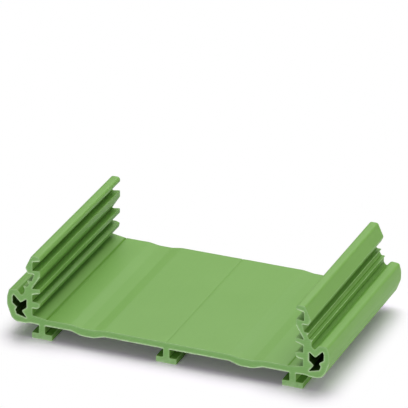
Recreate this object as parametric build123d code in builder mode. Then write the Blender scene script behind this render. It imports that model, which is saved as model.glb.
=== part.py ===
from build123d import *
import math
import os

# DIN rail module housing: one length of extruded rigid PVC profile, sawn square at both ends.
# It stands on three T-shaped feet. A rail along each side holds the edges of a circuit board
# in its slots, and the edge of a cover in the slot under its hooked top.
# Units are millimetres. X runs across the profile, Y along the extrusion, Z up.
# The origin is on the ground, in the middle of the footprint.

# Cut length
profile_length = 52.4

# Circuit board, and its play in the slots of the two rails
board_width = 72.0
board_thickness = 1.6
board_side_play = 0.08
board_slot_play = 0.26

# Feet: one under the middle, and one set in from the back of each rail's slots
outer_foot_inset = 2.58
foot_width = 5.55
foot_flange_thickness = 1.65
foot_stem_thickness = 1.7
foot_height = 3.92

# Plate, with a shallow mark scored along its middle and another beside each rail
plate_thickness = 1.85
centre_mark_width = 0.5
centre_mark_depth = 0.12
edge_mark_width = 0.45
edge_mark_depth = 0.16
shoulder_width = 3.9
shoulder_rise = 0.6

# Stiffening trough in the plate, between the middle foot and each outer foot
trough_to_outer_foot = 12.3
trough_mouth = 8.9
trough_floor = 3.4
trough_dip = 0.45
trough_bulge = 0.85

# Ribs that carry the board, reaching in from the back of its slots
rib_reach = 2.05
lower_rib_thickness = 1.88
lower_rib_bevel_height = 0.4
lower_rib_bevel_width = 0.95
lower_rib_nose_rake = 0.22
upper_rib_thickness = 1.63
upper_rib_lift = 0.25
upper_rib_taper = 0.4

# Broad lip above the ribs, the cover slot over it and the hook that closes the slot
lip_root_gap = 0.25
lip_flank_height = 3.35
lip_face_height = 1.72
lip_barb = 0.27
cover_slot_height = 2.35
hook_thickness = 1.7
hook_nose_lift = 0.45

# Outer side of the rail, from the hook down: belly, heel, undercut and two snap ridges
hook_crown_width = 2.35
hook_belly_width = 3.98
hook_belly_drop = 3.57
hook_heel_width = 3.3
neck_width = 1.68
neck_depth = 1.02
undercut_height = 1.95
undercut_seat_width = 2.25
ridge_pitch = 1.7
ridge_height = 0.65
ridge_fillet_rise = 0.7
upper_ridge_back = 3.12
upper_ridge_reach = 0.42
lower_ridge_step = 1.12
lower_ridge_reach = 0.32

# Screw channel: a closed chamber whose three noses grip a self-tapping screw
web_thickness = 1.62
channel_width = 3.8
channel_height = 5.88
channel_side_wall = 1.5
channel_end_wall = 1.55
channel_drop = 0.2
screw_core_radius = 1.08
screw_from_web = 1.52
screw_from_floor = 2.85
top_nose_angle = 85
side_nose_angle = -15
web_nose_angle = 258
top_pocket_slope = 0.7
top_pocket_inset = 0.3
side_pocket_rise = 0.7
floor_pocket_inset = 0.78
floor_pocket_drop = 1.1
floor_rise = 0.7

# Groove between the ridges and the channel, and the round outside of the channel
groove_depth = 1.45
groove_offset = 1.3
groove_arm_width = 1.25
groove_back_rise = 0.95
crown_inset = 0.55
crown_fall = 0.2
side_face_top = 2.35
side_face_bottom = 4.4
keel_tuck = 1.6
keel_width = 3.4
keel_notch_rise = 0.12
keel_notch_offset = 0.5

# Rounding of edges: small where a lip ends, larger where the walls turn
tip_radius = 0.08
edge_radius = 0.15
lip_radius = 0.3
root_radius = 0.25
groove_radius = 0.4
belly_radius = 0.5
crown_radius = 0.8
side_radius = 3.0
keel_radius = 2.4
trough_radius = 4.0

# Levels, from the ground up
plate_bottom = foot_height
plate_top = plate_bottom + plate_thickness
board_slot_height = board_thickness + board_slot_play
lower_slot_floor = plate_top + shoulder_rise
lower_slot_roof = lower_slot_floor + board_slot_height
upper_slot_floor = lower_slot_roof + lower_rib_thickness
upper_slot_roof = upper_slot_floor + board_slot_height
upper_rib_top = upper_slot_roof + upper_rib_thickness
lip_root = upper_rib_top + lip_root_gap
lip_knee = lip_root + lip_flank_height
lip_top = lip_knee + lip_face_height
cover_slot_floor = lip_top - lip_barb
cover_slot_roof = cover_slot_floor + cover_slot_height
rail_top = cover_slot_roof + hook_thickness
undercut_roof = cover_slot_floor - neck_depth
upper_ridge_top = undercut_roof - undercut_height
lower_ridge_top = upper_ridge_top - ridge_pitch
channel_bottom = plate_bottom - channel_drop
channel_floor = channel_bottom + channel_end_wall
channel_roof = channel_floor + channel_height
channel_top = channel_roof + channel_end_wall
screw_z = channel_floor + screw_from_floor
groove_floor = channel_top - groove_depth

# Distances outwards from the middle plane
foot_half = foot_width / 2
stem_half = foot_stem_thickness / 2
slot_back = board_width / 2 + board_side_play
outer_foot = slot_back - outer_foot_inset
trough_middle = outer_foot - trough_to_outer_foot
rib_tip = slot_back - rib_reach
edge_mark = slot_back - shoulder_width
neck_back = rib_tip + neck_width
upper_ridge_root = rib_tip + upper_ridge_back
upper_ridge_tip = upper_ridge_root + upper_ridge_reach
lower_ridge_root = upper_ridge_root + lower_ridge_step
lower_ridge_tip = lower_ridge_root + lower_ridge_reach
channel_inner = slot_back + web_thickness
channel_outer = channel_inner + channel_width
side_face = channel_outer + channel_side_wall
screw_x = channel_inner + screw_from_web
groove_x = channel_inner + groove_offset
keel_x = side_face - keel_tuck


# Each outline is a list of corners, as X, Z and the radius that rounds the corner.
def foot_outline(x):
    """T-shaped foot with its middle at x, from its outer side to its inner side."""
    return [
        (x + stem_half, plate_bottom, root_radius),
        (x + stem_half, foot_flange_thickness, root_radius),
        (x + foot_half, foot_flange_thickness, edge_radius),
        (x + foot_half, 0, root_radius),
        (x - foot_half, 0, root_radius),
        (x - foot_half, foot_flange_thickness, edge_radius),
        (x - stem_half, foot_flange_thickness, root_radius),
        (x - stem_half, plate_bottom, root_radius),
    ]


def trough_outline(level, drop):
    """Trough in one face of the plate, from the middle outwards."""
    return [
        (trough_middle - trough_mouth / 2, level, trough_radius),
        (trough_middle - trough_floor / 2, level - drop, trough_radius),
        (trough_middle + trough_floor / 2, level - drop, trough_radius),
        (trough_middle + trough_mouth / 2, level, trough_radius),
    ]


def screw_nose(angle):
    """Tip of one nose of the screw channel, standing on the screw's core circle."""
    turn = math.radians(angle)
    x = screw_x + screw_core_radius * math.cos(turn)
    z = screw_z + screw_core_radius * math.sin(turn)
    return (x, z, lip_radius)


plate_face = [
    (0, plate_top - centre_mark_depth, 0),
    (centre_mark_width / 2, plate_top, 0),
    *trough_outline(plate_top, trough_dip),
    (edge_mark - edge_mark_width / 2, plate_top, 0),
    (edge_mark, plate_top - edge_mark_depth, 0),
    (edge_mark + edge_mark_width / 2, plate_top, 0),
]

board_slots = [
    (slot_back, lower_slot_floor, edge_radius),
    (slot_back, lower_slot_roof, edge_radius),
    (rib_tip + lower_rib_bevel_width, lower_slot_roof, edge_radius),
    (rib_tip + lower_rib_nose_rake, lower_slot_roof + lower_rib_bevel_height, edge_radius),
    (rib_tip, upper_slot_floor - lower_rib_bevel_height, edge_radius),
    (rib_tip + lower_rib_bevel_width, upper_slot_floor, edge_radius),
    (slot_back, upper_slot_floor, edge_radius),
    (slot_back, upper_slot_roof, edge_radius),
    (rib_tip, upper_slot_roof + upper_rib_lift + upper_rib_taper, edge_radius),
    (rib_tip, upper_rib_top + upper_rib_lift, edge_radius),
    (slot_back, upper_rib_top, 0),
    (slot_back, lip_root, 0),
]

cover_slot = [
    (rib_tip, lip_knee, belly_radius),
    (rib_tip, lip_top, edge_radius),
    (slot_back, cover_slot_floor, edge_radius),
    (slot_back, cover_slot_roof, lip_radius),
    (rib_tip, cover_slot_roof + hook_nose_lift, edge_radius),
]

hook_outside = [
    (rib_tip, rail_top, crown_radius),
    (rib_tip + hook_crown_width, rail_top, crown_radius),
    (rib_tip + hook_belly_width, rail_top - hook_belly_drop, belly_radius),
    (rib_tip + hook_heel_width, undercut_roof, lip_radius),
    (neck_back, undercut_roof, edge_radius),
]

snap_ridges = [
    (rib_tip + undercut_seat_width, upper_ridge_top, groove_radius),
    (upper_ridge_tip, upper_ridge_top, tip_radius),
    (upper_ridge_root, upper_ridge_top - ridge_height, edge_radius),
    (upper_ridge_root, lower_ridge_top + ridge_fillet_rise, lip_radius),
    (upper_ridge_tip, lower_ridge_top, lip_radius),
    (lower_ridge_tip, lower_ridge_top, tip_radius),
    (lower_ridge_root, lower_ridge_top - ridge_height, edge_radius),
]

channel_outside = [
    (lower_ridge_root, groove_floor + groove_back_rise, groove_radius),
    (groove_x, groove_floor, groove_radius),
    (groove_x + groove_arm_width, channel_top, crown_radius),
    (side_face - crown_inset, channel_top - crown_fall, crown_radius),
    (side_face, channel_top - side_face_top, side_radius),
    (side_face, channel_bottom + side_face_bottom, side_radius),
    (keel_x, channel_bottom, keel_radius),
    (keel_x - keel_width, channel_bottom, keel_radius),
    (slot_back + keel_notch_offset, plate_bottom + keel_notch_rise, lip_radius),
]

half_outline = [
    *plate_face,
    *board_slots,
    *cover_slot,
    *hook_outside,
    *snap_ridges,
    *channel_outside,
    *foot_outline(outer_foot),
    *reversed(trough_outline(plate_bottom, trough_bulge)),
    *foot_outline(0)[:4],
    (0, 0, 0),
]

channel_outline = [
    (channel_inner, channel_roof - top_pocket_slope, edge_radius),
    screw_nose(top_nose_angle),
    (channel_outer - top_pocket_inset, channel_roof, edge_radius),
    (channel_outer, channel_roof - top_pocket_slope, edge_radius),
    (channel_outer, screw_z + side_pocket_rise, lip_radius),
    screw_nose(side_nose_angle),
    (channel_outer - floor_pocket_inset, screw_z - floor_pocket_drop, edge_radius),
    (channel_outer - floor_pocket_drop, channel_floor + floor_rise, root_radius),
    (channel_inner, channel_floor, tip_radius),
    screw_nose(web_nose_angle),
    (channel_inner, screw_z, lip_radius),
]


def rounded_outline(corners):
    """Closed outline through the corners, each rounded to its own radius."""
    points = [(x, z) for x, z, radius in corners]
    radii = [radius for x, z, radius in corners]
    FilletPolyline(*points, radius=radii, close=True)


with BuildPart() as module_housing:
    with BuildSketch(Plane.XZ) as section:
        with BuildLine() as half_line:
            rounded_outline(half_outline)
        make_face()
        with BuildLine() as channel_line:
            rounded_outline(channel_outline)
        make_face(mode=Mode.SUBTRACT)
        mirror(about=Plane.YZ)
    extrude(amount=profile_length / 2, both=True)

os.makedirs("parts", exist_ok=True)
module_housing.part.label = "module_housing"
export_step(module_housing.part, "parts/module_housing.step")
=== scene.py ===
import bmesh
import bpy
import math
from mathutils import Matrix, Vector, geometry, kdtree, noise


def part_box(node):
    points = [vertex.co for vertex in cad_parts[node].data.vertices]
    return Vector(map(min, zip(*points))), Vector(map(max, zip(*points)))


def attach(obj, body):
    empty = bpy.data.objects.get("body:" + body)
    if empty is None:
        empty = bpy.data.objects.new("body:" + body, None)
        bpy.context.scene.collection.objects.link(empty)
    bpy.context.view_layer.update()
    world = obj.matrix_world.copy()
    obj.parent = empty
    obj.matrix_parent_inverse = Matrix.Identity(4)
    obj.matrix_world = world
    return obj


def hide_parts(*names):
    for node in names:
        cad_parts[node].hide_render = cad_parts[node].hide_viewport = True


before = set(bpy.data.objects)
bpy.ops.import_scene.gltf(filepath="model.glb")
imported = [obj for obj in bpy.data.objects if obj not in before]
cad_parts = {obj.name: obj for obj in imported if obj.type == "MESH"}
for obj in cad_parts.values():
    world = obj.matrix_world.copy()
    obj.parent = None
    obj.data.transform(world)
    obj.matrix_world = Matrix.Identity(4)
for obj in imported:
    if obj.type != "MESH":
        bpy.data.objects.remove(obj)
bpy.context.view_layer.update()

# Module housing: one cut length of extruded rigid PVC profile, pigmented green in the melt.
# The die gives it one section all along, with faint lines that run with the extrusion.
# It is sawn square at both ends, which leaves fine saw marks and a thin paler burr.

millimetre = 0.001
profile_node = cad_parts["module_housing"]
profile_low, profile_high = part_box("module_housing")

# Points closer together than this are one point, and points this close to the end plane lie in
# it. A face that looks along the profile by more than this share is a cut end.
weld_distance = 0.0001 * millimetre
face_tolerance = 0.001 * millimetre
end_facing = 0.9


def outlines_of_cut_face(node, face_y):
    """The closed outlines of a sawn end face, each as its points in order, in X and Z."""
    section = bmesh.new()
    section.from_mesh(node.data)
    bmesh.ops.remove_doubles(section, verts=section.verts, dist=weld_distance)

    def is_rim(edge):
        """Tells whether an edge lies between the end face and the sides."""
        on_face = all(abs(v.co.y - face_y) < face_tolerance for v in edge.verts)
        return on_face and sum(abs(f.normal.y) > end_facing for f in edge.link_faces) == 1

    rim = {edge for edge in section.edges if is_rim(edge)}
    outlines = []
    while rim:
        edge = min(rim, key=lambda e: e.index)
        start, corner = edge.verts
        outline = [start.co.xz]
        while edge:
            rim.discard(edge)
            if corner is not start:
                outline.append(corner.co.xz)
            edge = next((e for e in corner.link_edges if e in rim), None)
            if edge:
                corner = edge.other_vert(corner)
        outlines.append(outline)
    section.free()
    return outlines


def run_the_same_way(outline, sense):
    """The outline turned so that its area has the sign of sense."""
    area = sum(a.cross(b) for a, b in zip(outline, outline[1:] + outline[:1]))
    return outline if area * sense > 0 else outline[::-1]


def spaced_outline(outline, longest_step, largest_turn, straight_run):
    """The outline with a point at each end of a straight run, and at each step or turn."""
    spaced = []
    travelled = longest_step
    turned = 0.0
    for i, here in enumerate(outline):
        before = here - outline[i - 1]
        after = outline[(i + 1) % len(outline)] - here
        turned += abs(before.angle_signed(after))
        travelled += before.length
        ends_a_run = max(before.length, after.length) > straight_run
        if travelled >= longest_step or turned >= largest_turn or ends_a_run:
            spaced.append(here)
            travelled = 0.0
            turned = 0.0
            steps = math.ceil(after.length / longest_step)
            spaced.extend(here + after * step / steps for step in range(1, steps))
    return spaced


outer_outline, *channel_outlines = sorted(
    outlines_of_cut_face(profile_node, profile_low.y), key=len, reverse=True
)
outline_spacing = {
    "longest_step": 0.4 * millimetre,
    "largest_turn": math.radians(11),
    "straight_run": 0.15 * millimetre,
}
outlines = [spaced_outline(run_the_same_way(outer_outline, 1), **outline_spacing)]
for channel_outline in channel_outlines:
    outlines.append(spaced_outline(run_the_same_way(channel_outline, -1), **outline_spacing))

# The cut is not quite true: it wanders, and its edges are left with a thin scraped burr.
saw_wander = 0.09 * millimetre
saw_wander_length = 7 * millimetre
burr_inset = 0.05 * millimetre
burr_depth = 0.16 * millimetre
burr_unevenness = 0.4
burr_length = 0.9 * millimetre


def uneven(point, y, length):
    """Smooth unevenness from -1 to 1 at a point of the section, with bumps about a length wide."""
    return noise.noise(Vector((point.x, y, point.y)) / length)


def burr_share(point, y):
    """How strong the burr is at a point of the cut edge, about 1."""
    return 1 + burr_unevenness * uneven(point, y, burr_length)


def wander_at(point, y):
    """How far the cut face lies inside the true end plane at a point of the section."""
    return saw_wander * (1 + uneven(point, y, saw_wander_length)) / 2


# Distances from the cut at which the length of the profile gets a ring of points.
rings_from_cut = [0.5 * millimetre, 1.5 * millimetre, 4 * millimetre]
middle_ring_count = 9

# An outline that curves less than the first of these has no edge there, and from the second on it
# has a sharp one. Edges are made paler, partly as worn by rubbing and partly as a painted highlight.
# The edges inside the rails get only a small share of this, and the scored marks on the plate none.
blunt_curvature = 1.4 / millimetre
sharp_curvature = 3.4 / millimetre
sheltered_low = 5.0 * millimetre
sheltered_reach = 36.3 * millimetre
sheltered_share = 0.15
plate_marks_top = 6.6 * millimetre

# Shade is painted into sharp inside corners and into the scored marks: one along the middle of
# the plate, and one beside each rail, between these distances from the middle.
corner_painted_shade = 0.4
centre_mark_reach = 0.15 * millimetre
centre_mark_painted_shade = 0.12
edge_mark_inner = 32.1 * millimetre
edge_mark_outer = 32.6 * millimetre
edge_mark_painted_shade = 0.3

# Points of the cut faces, and how far the paler scraped rim reaches in from their edges. The
# rim is clear round the channels, strongest on the lower edges, where the blade leaves the
# plastic, and faint on the others. The cut faces of the feet are paler towards the table as well.
face_point_spacing = 0.3 * millimetre
face_point_margin = 0.15 * millimetre
rim_width = 0.4 * millimetre
top_rim_share = 0.3
low_rim_share = 1.6
pale_foot_height = 2.6 * millimetre
pale_foot_share = 0.5

profile_mesh = bmesh.new()
# Each point keeps how much paler its edge is made, from rubbing and a painted highlight, and how much
# shade is painted on it.
wear_and_highlight_layer = profile_mesh.verts.layers.float.new("edge_wear_and_highlight")
painted_shade_layer = profile_mesh.verts.layers.float.new("painted_shade")
# Each face is given one of three finishes, whose materials follow in this order.
extruded_skin, sawn_face, scraped_burr = 0, 1, 2


def outward(outline, i):
    """Direction out of the plastic at point i of an outline, in the section."""
    along = (outline[(i + 1) % len(outline)] - outline[i - 1]).normalized()
    return Vector((along.y, -along.x))


def sharpness_at(outline, i):
    """How sharply an outline turns at point i, from -1 in an inside corner to 1 on an edge."""
    before = outline[i] - outline[i - 1]
    after = outline[(i + 1) % len(outline)] - outline[i]
    turn = -before.angle_signed(after) / ((before.length + after.length) / 2)
    sharpness = (abs(turn) - blunt_curvature) / (sharp_curvature - blunt_curvature)
    return math.copysign(min(1.0, max(0.0, sharpness)), turn)


def wear_and_highlight_at(outline, i):
    """How much paler the edge at point i of an outline is made, partly worn and partly a painted
    highlight, from 0 to 1.
    """
    wear_and_highlight = max(0.0, sharpness_at(outline, i))
    if abs(outline[i].x) < sheltered_reach and outline[i].y > sheltered_low:
        return wear_and_highlight * sheltered_share if outline[i].y > plate_marks_top else 0.0
    return wear_and_highlight


def painted_shade_at(outline, i):
    """How much shade is painted on the skin at point i of an outline, up to 1 in the closed screw
    channels.
    """
    if outline is not outlines[0]:
        return 1.0
    out, height = abs(outline[i].x), outline[i].y
    if out < sheltered_reach and sheltered_low < height < plate_marks_top:
        if edge_mark_inner < out < edge_mark_outer:
            return edge_mark_painted_shade
        return centre_mark_painted_shade if out < centre_mark_reach else 0.0
    return corner_painted_shade * max(0.0, -sharpness_at(outline, i))


def scrape_at(outline, i):
    """How strong the scraped rim is at point i of an outline: past 1 it is wider, not paler."""
    if outline is not outlines[0]:
        return 1.0
    return top_rim_share + (low_rim_share - top_rim_share) * max(0.0, -outward(outline, i).y)


def uneven_ring(outline, places, insets):
    """A ring of points round an outline, each with its own place along Y and its own inset."""
    ring = []
    for i, (point, y, inset) in enumerate(zip(outline, places, insets)):
        placed = point - outward(outline, i) * inset
        vertex = profile_mesh.verts.new((placed.x, y, placed.y))
        vertex[wear_and_highlight_layer] = wear_and_highlight_at(outline, i)
        vertex[painted_shade_layer] = painted_shade_at(outline, i)
        ring.append(vertex)
    return ring


def flat_ring(outline, y):
    """A ring of points round an outline, all at one place along the profile."""
    return uneven_ring(outline, [y] * len(outline), [0.0] * len(outline))


def join_rings(first, second, finish):
    """A band of faces between two rings of the same outline."""
    for i in range(len(first)):
        corners = (first[i - 1], first[i], second[i], second[i - 1])
        face = profile_mesh.faces.new(corners)
        face.material_index = finish
        face.smooth = True


def level_crossings(loops, z):
    """Where closed loops cross a level of the section, from left to right."""
    crossings = []
    for loop in loops:
        for a, b in zip(loop, loop[1:] + loop[:1]):
            if (a.y > z) != (b.y > z):
                crossings.append(a.x + (b.x - a.x) * (z - a.y) / (b.y - a.y))
    return sorted(crossings)


def points_along(loops, step):
    """Points along closed loops, no further apart than a step."""
    for loop in loops:
        for a, b in zip(loop, loop[1:] + loop[:1]):
            count = math.ceil((b - a).length / step)
            yield from (a.lerp(b, k / count) for k in range(count))


def search_tree(points):
    """A tree that finds the nearest of some points of the section."""
    nearby = kdtree.KDTree(len(points))
    for k, point in enumerate(points):
        nearby.insert(point.to_3d(), k)
    nearby.balance()
    return nearby


def inner_points(loops, edge_tree):
    """Rows of points between the loops, each with its distance from the nearest edge."""
    top = max(point.y for loop in loops for point in loop)
    for row in range(1, int(top / face_point_spacing)):
        z = row * face_point_spacing
        crossings = level_crossings(loops, z)
        for start, end in zip(crossings[::2], crossings[1::2]):
            count = int((end - start) / face_point_spacing)
            for k in range(1, count):
                point = Vector((start + (end - start) * k / count, z))
                edge_distance = edge_tree.find(point.to_3d())[2]
                if edge_distance > face_point_margin:
                    yield point, edge_distance


def fill_cut_face(rings, face_y, inwards):
    """Fills the section between rings of points with small triangles, each edge point kept."""
    loops = [[vertex.co.xz for vertex in ring] for ring in rings]
    corners = [point for loop in loops for point in loop]
    vertices = [vertex for ring in rings for vertex in ring]
    sides = []
    for loop in loops:
        first = len(sides)
        sides.extend((first + k, first + (k + 1) % len(loop)) for k in range(len(loop)))

    corner_tree = search_tree(corners)
    edge_tree = search_tree(list(points_along(loops, face_point_margin / 2)))
    for point, edge_distance in inner_points(loops, edge_tree):
        y = face_y + inwards * wander_at(point, face_y)
        vertex = profile_mesh.verts.new((point.x, y, point.y))
        nearest_corner = vertices[corner_tree.find(point.to_3d())[1]]
        rim_wear = nearest_corner[wear_and_highlight_layer] * max(0.0, 1 - edge_distance / rim_width)
        foot_paleness = pale_foot_share * (1 - point.y / pale_foot_height)
        vertex[wear_and_highlight_layer] = max(rim_wear, foot_paleness)
        corners.append(point)
        vertices.append(vertex)

    inside_only = 1
    placed, _, triangles, sources, *_ = geometry.delaunay_2d_cdt(
        corners, sides, [], inside_only, face_tolerance
    )
    for triangle in triangles:
        centre = sum((placed[k] for k in triangle), Vector((0, 0))) / 3
        crossed = sum(x < centre.x for x in level_crossings(loops, centre.y))
        if crossed % 2:
            face = profile_mesh.faces.new([vertices[sources[k][0]] for k in triangle])
            face.material_index = sawn_face
            face.smooth = True


def rings_near_cut(outline, face_y, inwards):
    """The rings of an outline from the edge of a cut face inwards, past its burr."""
    cut = [face_y + inwards * wander_at(point, face_y) for point in outline]
    burr = [burr_share(point, face_y) for point in outline]
    face_ring = uneven_ring(outline, cut, [burr_inset * share for share in burr])
    for i, vertex in enumerate(face_ring):
        vertex[wear_and_highlight_layer] = scrape_at(outline, i)
    behind_burr = [y + inwards * burr_depth * share for y, share in zip(cut, burr)]
    rings = [face_ring, uneven_ring(outline, behind_burr, [0.0] * len(outline))]
    for distance in rings_from_cut:
        rings.append(flat_ring(outline, face_y + inwards * distance))
    return rings


near_face_rings, far_face_rings = [], []
span_start = profile_low.y + rings_from_cut[-1]
span = profile_high.y - rings_from_cut[-1] - span_start
for outline in outlines:
    near_rings = rings_near_cut(outline, profile_low.y, 1)
    far_rings = rings_near_cut(outline, profile_high.y, -1)
    near_face_rings.append(near_rings[0])
    far_face_rings.append(far_rings[0])
    middle_rings = []
    for k in range(1, middle_ring_count + 1):
        middle_rings.append(flat_ring(outline, span_start + span * k / (middle_ring_count + 1)))
    rings = near_rings + middle_rings + far_rings[::-1]
    for k in range(len(rings) - 1):
        at_cut = k in (0, len(rings) - 2)
        join_rings(rings[k], rings[k + 1], scraped_burr if at_cut else extruded_skin)

fill_cut_face(near_face_rings, profile_low.y, 1)
fill_cut_face(far_face_rings, profile_high.y, -1)
for ring in near_face_rings + far_face_rings:
    for i in range(len(ring)):
        profile_mesh.edges.get((ring[i - 1], ring[i])).smooth = False

bmesh.ops.recalc_face_normals(profile_mesh, faces=profile_mesh.faces)
sawn_profile_data = bpy.data.meshes.new("sawn_profile")
profile_mesh.to_mesh(sawn_profile_data)
profile_mesh.free()
sawn_profile = bpy.data.objects.new("sawn_profile", sawn_profile_data)
bpy.context.scene.collection.objects.link(sawn_profile)


def srgb(hex_colour):
    """A hex colour, as it looks on a screen, as the linear colour that the shaders take."""
    def linear(byte):
        share = byte / 255
        return share / 12.92 if share <= 0.04045 else ((share + 0.055) / 1.055) ** 2.4

    channels = [int(hex_colour[k:k + 2], 16) for k in (1, 3, 5)]
    return (*[linear(channel) for channel in channels], 1.0)


def grey(level):
    """A linear colour without a tint, where 1 is white."""
    return (level, level, level, 1.0)


def add_node(tree, kind, inputs=(), **options):
    """Adds a shader node with its options, and sets or links each of its named inputs."""
    node = tree.nodes.new(kind)
    for name, value in options.items():
        setattr(node, name, value)
    for name, value in dict(inputs).items():
        if isinstance(value, bpy.types.NodeSocket):
            tree.links.new(value, node.inputs[name])
        else:
            node.inputs[name].default_value = value
    return node


# How strongly rigid PVC bends light.
pvc_ior = 1.53


def rigid_pvc(name):
    """A bare rigid PVC material, ready for the colour and pattern of its surface."""
    material = bpy.data.materials.new(name)
    material.use_nodes = True
    shader = material.node_tree.nodes["Principled BSDF"]
    shader.inputs["IOR"].default_value = pvc_ior
    sawn_profile_data.materials.append(material)
    return material.node_tree, shader


# Skin as it left the die: an even satin green, with faint lines along the length, a little cloudy
# from the pigment, and paler on the thin edges, partly worn by rubbing and partly a painted
# highlight. Painted shade darkens and dulls the scored marks, inside corners and closed screw channels.
tree, shader = rigid_pvc("extruded_green_pvc")
pigment_colours = (srgb("#74A747"), srgb("#7AAD4F"))
rubbed_and_highlight_colour = srgb("#B6DB95")
painted_shade_colour = srgb("#3C5A24")
die_line_width = 0.55 * millimetre
die_line_length = 60 * millimetre
cloud_size = 14 * millimetre
patch_size = 1.2 * millimetre
# The grain is a tenth of this on the real skin, and is drawn coarser so that it shows.
grain_size = 0.3 * millimetre
skin_relief = 0.004 * millimetre
grain_shades = (0.94, 1.06)
satin_range = (0.47, 0.53)
# Skin without painted shade has this gloss, and skin with this much painted shade or more has none.
full_gloss = 0.57
glossless_painted_shade = 0.3
# A noise pattern hardly ever leaves this range.
noise_low, noise_high = 0.3, 0.7
least_rubbed_and_highlight = 0.4

place = add_node(tree, "ShaderNodeTexCoord").outputs["Object"]
stretch = (1 / die_line_width, 1 / die_line_length, 1 / die_line_width)
along = add_node(tree, "ShaderNodeMapping", {"Vector": place, "Scale": stretch})
die_lines = add_node(tree, "ShaderNodeTexNoise", {"Vector": along.outputs[0], "Scale": 1.0})
grain = add_node(tree, "ShaderNodeTexNoise", {"Vector": place, "Scale": 1 / grain_size})
clouds = add_node(tree, "ShaderNodeTexNoise", {"Vector": place, "Scale": 1 / cloud_size})
patches = add_node(tree, "ShaderNodeTexNoise", {"Vector": place, "Scale": 1 / patch_size})
# Paler thin edges: partly worn by rubbing, partly a painted highlight.
wear_and_highlight = add_node(tree, "ShaderNodeAttribute", attribute_name="edge_wear_and_highlight")
# A mix node has a set of sockets for each type of value: these are the ones for colours.
colour_a, colour_b, mixed_colour = 6, 7, 2
pigment = add_node(
    tree, "ShaderNodeMix",
    {0: clouds.outputs[0], colour_a: pigment_colours[0], colour_b: pigment_colours[1]},
    data_type="RGBA",
)
shade = add_node(
    tree, "ShaderNodeMix",
    {0: grain.outputs[0], colour_a: grey(grain_shades[0]), colour_b: grey(grain_shades[1])},
    data_type="RGBA",
)
grained = add_node(
    tree, "ShaderNodeMix",
    {0: 1.0, colour_a: pigment.outputs[mixed_colour], colour_b: shade.outputs[mixed_colour]},
    data_type="RGBA", blend_type="MULTIPLY",
)
patchy = add_node(
    tree, "ShaderNodeMapRange",
    {"Value": patches.outputs[0], "From Min": noise_low, "From Max": noise_high, "To Min": least_rubbed_and_highlight},
)
rubbed_and_highlight = add_node(
    tree, "ShaderNodeMath", {0: wear_and_highlight.outputs["Fac"], 1: patchy.outputs[0]}, operation="MULTIPLY"
)
skin_colour = add_node(
    tree, "ShaderNodeMix",
    {0: rubbed_and_highlight.outputs[0], colour_a: grained.outputs[mixed_colour], colour_b: rubbed_and_highlight_colour},
    data_type="RGBA",
)
# Painted shade: darkens the skin and takes its gloss away in the channels, inside corners and marks.
painted_shade_amount = add_node(tree, "ShaderNodeAttribute", attribute_name="painted_shade")
surface_colour = add_node(
    tree, "ShaderNodeMix",
    {0: painted_shade_amount.outputs["Fac"], colour_a: skin_colour.outputs[mixed_colour], colour_b: painted_shade_colour},
    data_type="RGBA",
)
tree.links.new(surface_colour.outputs[mixed_colour], shader.inputs["Base Color"])
gloss = add_node(
    tree, "ShaderNodeMapRange",
    {
        "Value": painted_shade_amount.outputs["Fac"], "From Max": glossless_painted_shade,
        "To Min": full_gloss, "To Max": 0.0,
    },
)
tree.links.new(gloss.outputs[0], shader.inputs["Specular IOR Level"])
satin = add_node(
    tree, "ShaderNodeMapRange",
    {"Value": die_lines.outputs[0], "To Min": satin_range[0], "To Max": satin_range[1]},
)
tree.links.new(satin.outputs[0], shader.inputs["Roughness"])
height = add_node(
    tree, "ShaderNodeMath", {0: die_lines.outputs[0], 1: grain.outputs[0]}, operation="ADD"
)
relief = add_node(tree, "ShaderNodeBump", {"Height": height.outputs[0], "Distance": skin_relief})
tree.links.new(relief.outputs[0], shader.inputs["Normal"])

# Sawn face: duller and a little greyer than the skin, with the arcs of the saw blade across
# it, and paler towards its edges where the blade has smeared the plastic.
tree, shader = rigid_pvc("sawn_green_pvc")
shader.inputs["Roughness"].default_value = 0.6
sawn_colours = (srgb("#77A958"), srgb("#7CAE5E"))
rim_colour = srgb("#C6E0B4")
# The blade turned about this point, below the profile and to its right.
blade_centre = (55 * millimetre, 0.0, -105 * millimetre)
# The teeth leave marks a third of this apart, which are drawn wider so that they show.
saw_mark_spacing = 0.55 * millimetre
# At a scale of 1, the rings of a wave texture lie this far apart, in metres.
plain_wave_spacing = 0.314
least_smeared = 0.4
smear_size = 1.1 * millimetre
saw_relief = 0.006 * millimetre

place = add_node(tree, "ShaderNodeTexCoord").outputs["Object"]
from_blade = add_node(
    tree, "ShaderNodeVectorMath", {0: place, 1: blade_centre}, operation="SUBTRACT"
)
saw_marks = add_node(
    tree, "ShaderNodeTexWave",
    {
        "Vector": from_blade.outputs[0], "Scale": plain_wave_spacing / saw_mark_spacing,
        "Distortion": 6.0, "Detail": 3.0, "Detail Scale": 1.5,
    },
    wave_type="RINGS", rings_direction="Y",
)
smears = add_node(tree, "ShaderNodeTexNoise", {"Vector": place, "Scale": 1 / smear_size})
wear_and_highlight = add_node(tree, "ShaderNodeAttribute", attribute_name="edge_wear_and_highlight")
marked = add_node(
    tree, "ShaderNodeMix",
    {0: saw_marks.outputs["Fac"], colour_a: sawn_colours[0], colour_b: sawn_colours[1]},
    data_type="RGBA",
)
smeared = add_node(
    tree, "ShaderNodeMapRange",
    {"Value": smears.outputs[0], "From Min": noise_low, "From Max": noise_high, "To Min": least_smeared},
)
rim = add_node(
    tree, "ShaderNodeMath", {0: wear_and_highlight.outputs["Fac"], 1: smeared.outputs[0]}, operation="MULTIPLY"
)
face_colour = add_node(
    tree, "ShaderNodeMix",
    {0: rim.outputs[0], colour_a: marked.outputs[mixed_colour], colour_b: rim_colour},
    data_type="RGBA",
)
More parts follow.
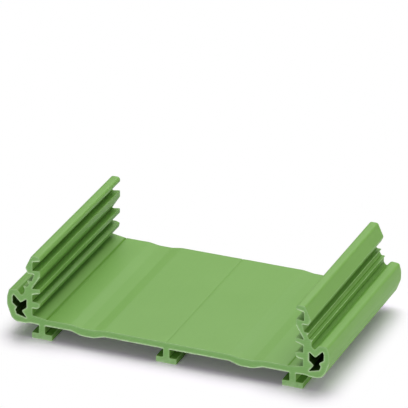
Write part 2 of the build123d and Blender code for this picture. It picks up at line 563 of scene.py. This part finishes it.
tree.links.new(face_colour.outputs[mixed_colour], shader.inputs["Base Color"])
relief = add_node(tree, "ShaderNodeBump", {"Height": saw_marks.outputs["Fac"], "Distance": saw_relief})
tree.links.new(relief.outputs[0], shader.inputs["Normal"])

# Burr: the thin scraped edge of the cut, whitened in uneven patches where the plastic is torn,
# and greener along the edges that the blade scraped less.
tree, shader = rigid_pvc("scraped_pvc_burr")
shader.inputs["Roughness"].default_value = 0.55
unscraped_colour = srgb("#77A94D")
torn_colour = srgb("#DCEBD0")
tear_size = 0.6 * millimetre
least_torn = 0.3
fully_torn_noise = 0.6
scraped_range = (0.1, 0.7)

place = add_node(tree, "ShaderNodeTexCoord").outputs["Object"]
tears = add_node(tree, "ShaderNodeTexNoise", {"Vector": place, "Scale": 1 / tear_size})
torn = add_node(
    tree, "ShaderNodeMapRange",
    {"Value": tears.outputs[0], "From Min": noise_low, "From Max": fully_torn_noise, "To Min": least_torn},
)
wear_and_highlight = add_node(tree, "ShaderNodeAttribute", attribute_name="edge_wear_and_highlight")
scraped = add_node(
    tree, "ShaderNodeMapRange",
    {"Value": wear_and_highlight.outputs["Fac"], "From Min": scraped_range[0], "From Max": scraped_range[1]},
)
whitened = add_node(
    tree, "ShaderNodeMath", {0: torn.outputs[0], 1: scraped.outputs[0]}, operation="MULTIPLY"
)
burr_colour = add_node(
    tree, "ShaderNodeMix",
    {0: whitened.outputs[0], colour_a: unscraped_colour, colour_b: torn_colour},
    data_type="RGBA",
)
tree.links.new(burr_colour.outputs[mixed_colour], shader.inputs["Base Color"])

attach(sawn_profile, "root")
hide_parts("module_housing")

# Table: a smooth white painted board that the profile stands on, so bright that it washes out.
# It keeps the soft shadow close to the piece, and fades into the white surround further out.

table_size = 3.0
table_mesh = bmesh.new()
bmesh.ops.create_grid(table_mesh, x_segments=12, y_segments=12, size=table_size / 2)
table_data = bpy.data.meshes.new("white_table")
table_mesh.to_mesh(table_data)
table_mesh.free()
white_table = bpy.data.objects.new("white_table", table_data)
bpy.context.scene.collection.objects.link(white_table)

table_material = bpy.data.materials.new("white_table_board")
table_material.use_nodes = True
tree = table_material.node_tree
tree.nodes.clear()
rays = add_node(tree, "ShaderNodeLightPath")
place = add_node(tree, "ShaderNodeTexCoord").outputs["Object"]
# Distances on the board are taken from this footprint of the piece. Its middle lies a little to
# the right of the piece's own, as the shadow does.
footprint_middle = (1 * millimetre, 0.0, 0.0)
footprint_reach = (37.5 * millimetre, 25 * millimetre, 0.0)
no_reach = (0.0, 0.0, 0.0)
offset = add_node(
    tree, "ShaderNodeVectorMath", {0: place, 1: footprint_middle}, operation="SUBTRACT"
)
from_middle = add_node(tree, "ShaderNodeVectorMath", {0: offset.outputs[0]}, operation="ABSOLUTE")
from_footprint = add_node(
    tree, "ShaderNodeVectorMath",
    {0: from_middle.outputs[0], 1: footprint_reach}, operation="SUBTRACT",
)
outside = add_node(
    tree, "ShaderNodeVectorMath", {0: from_footprint.outputs[0], 1: no_reach}, operation="MAXIMUM"
)
distance = add_node(tree, "ShaderNodeVectorMath", {0: outside.outputs[0]}, operation="LENGTH")

# Close to the piece the board is tinted against the green light that the plastic throws on it,
# so that the shadow stays grey. The piece itself is lit by a plain board.
tint_end = 2.5 * millimetre
near_colour = (1.24, 1.04, 1.38, 1.0)
far_colour = (1.10, 1.045, 1.13, 1.0)
plain_board_level = 0.85
tint = add_node(
    tree, "ShaderNodeMapRange", {"Value": distance.outputs["Value"], "From Max": tint_end}
)
board_colour = add_node(
    tree, "ShaderNodeMix",
    {0: tint.outputs[0], colour_a: near_colour, colour_b: far_colour},
    data_type="RGBA",
)
board_seen = add_node(tree, "ShaderNodeBsdfDiffuse", {"Color": board_colour.outputs[mixed_colour]})
plain_board = add_node(tree, "ShaderNodeBsdfDiffuse", {"Color": grey(plain_board_level)})
board = add_node(
    tree, "ShaderNodeMixShader",
    {"Fac": rays.outputs["Is Camera Ray"], 1: plain_board.outputs[0], 2: board_seen.outputs[0]},
)

# The camera sees the board fade to plain white between these distances from the footprint.
fade_start = 4 * millimetre
fade_end = 12 * millimetre
white_glow = add_node(tree, "ShaderNodeEmission", {"Color": grey(1.0), "Strength": 1.0})
fade = add_node(
    tree, "ShaderNodeMapRange",
    {"Value": distance.outputs["Value"], "From Min": fade_start, "From Max": fade_end},
    interpolation_type="SMOOTHSTEP",
)
seen_fade = add_node(
    tree, "ShaderNodeMath",
    {0: fade.outputs[0], 1: rays.outputs["Is Camera Ray"]}, operation="MULTIPLY",
)
table_surface = add_node(
    tree, "ShaderNodeMixShader",
    {"Fac": seen_fade.outputs[0], 1: board.outputs[0], 2: white_glow.outputs[0]},
)
add_node(tree, "ShaderNodeOutputMaterial", {"Surface": table_surface.outputs[0]})
table_data.materials.append(table_material)

# Light: a white tent that lights the piece softly from all sides, with soft boxes hung above the
# piece and two white cards stood beside it. The camera sees the tent as plain white.

tent_level = 0.18
tent = bpy.data.worlds.new("white_tent")
bpy.context.scene.world = tent
tent.use_nodes = True
tree = tent.node_tree
tree.nodes.clear()
rays = add_node(tree, "ShaderNodeLightPath")
level = add_node(
    tree, "ShaderNodeMapRange",
    {"Value": rays.outputs["Is Camera Ray"], "To Min": tent_level, "To Max": 1.0},
)
surround = add_node(tree, "ShaderNodeBackground", {"Color": grey(1.0), "Strength": level.outputs[0]})
add_node(tree, "ShaderNodeOutputWorld", {"Surface": surround.outputs[0]})


def hang_panel(name, place, size, watts):
    """A square panel of soft light at a place, turned to the middle of the table."""
    lamp = bpy.data.lights.new(name, "AREA")
    lamp.shape = "SQUARE"
    lamp.size = size
    lamp.energy = watts
    panel = bpy.data.objects.new(name, lamp)
    panel.location = place
    panel.rotation_euler = (-place).to_track_quat("-Z", "Y").to_euler()
    panel.visible_camera = False
    bpy.context.scene.collection.objects.link(panel)


# The strongest box hangs a little behind the piece and draws its shadow forwards. The card on
# the right opens up the outer side of the right rail, and the one in front the sawn face.
hang_panel("rear_soft_box", Vector((-0.02, 0.22, 0.42)), size=0.5, watts=1.85)
hang_panel("overhead_soft_box", Vector((0.0, 0.0, 0.5)), size=0.3, watts=0.5)
hang_panel("right_soft_box", Vector((0.3, 0.1, 0.42)), size=0.3, watts=0.15)
hang_panel("right_white_card", Vector((0.5, -0.05, 0.05)), size=0.1, watts=0.5)
hang_panel("front_white_card", Vector((0.0, -0.5, 0.07)), size=0.15, watts=0.85)

# Camera: a long lens, well back, that looks down on the near right corner of the profile.
# Its place is worked out from the corners of both end faces in the photograph.

camera_azimuth = math.radians(21.28)
camera_elevation = math.radians(24.90)
camera_roll = math.radians(0.81)
camera_distance = 1.300
aim_across = 9.444 * millimetre
aim_up = 39.543 * millimetre
lens_pixels = 5239.7
image_pixels = 408
sensor_width = 36.0

back = Vector((
    math.sin(camera_azimuth) * math.cos(camera_elevation),
    -math.cos(camera_azimuth) * math.cos(camera_elevation),
    math.sin(camera_elevation),
))
level_right = Vector((math.cos(camera_azimuth), math.sin(camera_azimuth), 0.0))
level_up = back.cross(level_right)
camera_right = math.cos(camera_roll) * level_right + math.sin(camera_roll) * level_up
camera_up = back.cross(camera_right)
near_face = Vector((0.0, profile_low.y, 0.0))
camera_place = near_face + aim_across * camera_right + aim_up * camera_up + camera_distance * back

camera_data = bpy.data.cameras.new("camera")
camera_data.sensor_width = sensor_width
camera_data.lens = lens_pixels * sensor_width / image_pixels
camera_data.clip_start = 0.05
camera_data.clip_end = 20
camera = bpy.data.objects.new("camera", camera_data)
turned = Matrix((camera_right, camera_up, back)).transposed()
camera.matrix_world = Matrix.Translation(camera_place) @ turned.to_4x4()
bpy.context.scene.collection.objects.link(camera)
bpy.context.scene.camera = camera
bpy.context.scene.view_settings.view_transform = "Standard"
